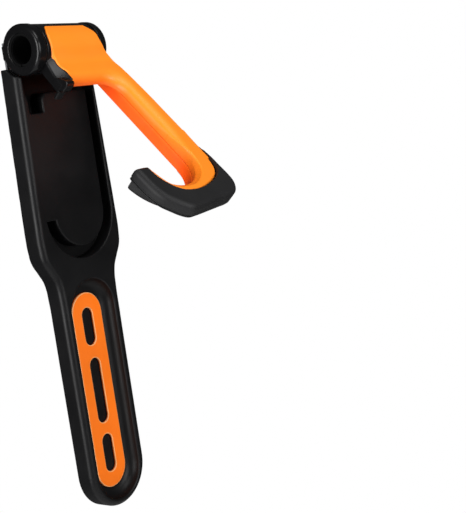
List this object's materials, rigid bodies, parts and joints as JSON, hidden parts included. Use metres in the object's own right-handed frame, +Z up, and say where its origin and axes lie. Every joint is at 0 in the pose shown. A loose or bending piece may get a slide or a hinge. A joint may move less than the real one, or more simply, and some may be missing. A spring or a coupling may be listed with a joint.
{
  "type": "bicycle wall rack",
  "caption": "Fold-down wall rack for hanging a bicycle by its wheel: a long base plate with a tyre trough and a hinged J-shaped hook arm with a rubber pad.",
  "frame": {"origin": "on the wall face, on the centre line, at the height of the hinge axis", "axes": "+Z up the wall, +Y into the wall, -Y out of the wall towards the user, +X along the hinge axis to the right as seen from the front"},
  "size_m": [0.1065, 0.1701, 0.4497],
  "materials": {
    "steel": "zinc plated",
    "black_plastic": "satin moulded",
    "hinge_black": "satin moulded",
    "trim_orange": "satin moulded",
    "arm_orange": "satin moulded",
    "pad_rubber": "matt",
    "core_black": "powder coat",
    "tube_black": "black oxide",
    "screw_steel": "zinc plated",
    "nylon": "natural"
  },
  "bodies": {
    "base": {"wall_plate": "steel", "base_cover": "black_plastic", "tyre_trim": "trim_orange", "trim_clips": "black_plastic", "cover_screws": "screw_steel", "left_knuckle": "hinge_black", "right_knuckle": "hinge_black", "knuckle_screws": "screw_steel", "hinge_tube": "tube_black", "left_retaining_ring": "tube_black", "right_retaining_ring": "tube_black"},
    "arm": {"arm_core": "core_black", "left_bush": "nylon", "right_bush": "nylon", "left_friction_washer": "screw_steel", "right_friction_washer": "screw_steel", "hub_collar": "hinge_black", "collar_screws": "screw_steel", "arm_cover": "arm_orange", "arm_back_cover": "arm_orange", "hook_rib": "pad_rubber", "hook_pad": "pad_rubber", "cover_rivets": "screw_steel"}
  },
  "joints": [
    {"name": "arm_hinge", "type": "hinge", "parent": "base", "child": "arm", "pos_m": [0, -0.0245, 0], "axis": [-1, 0, 0], "range_deg": [-42, 48]}
  ]
}
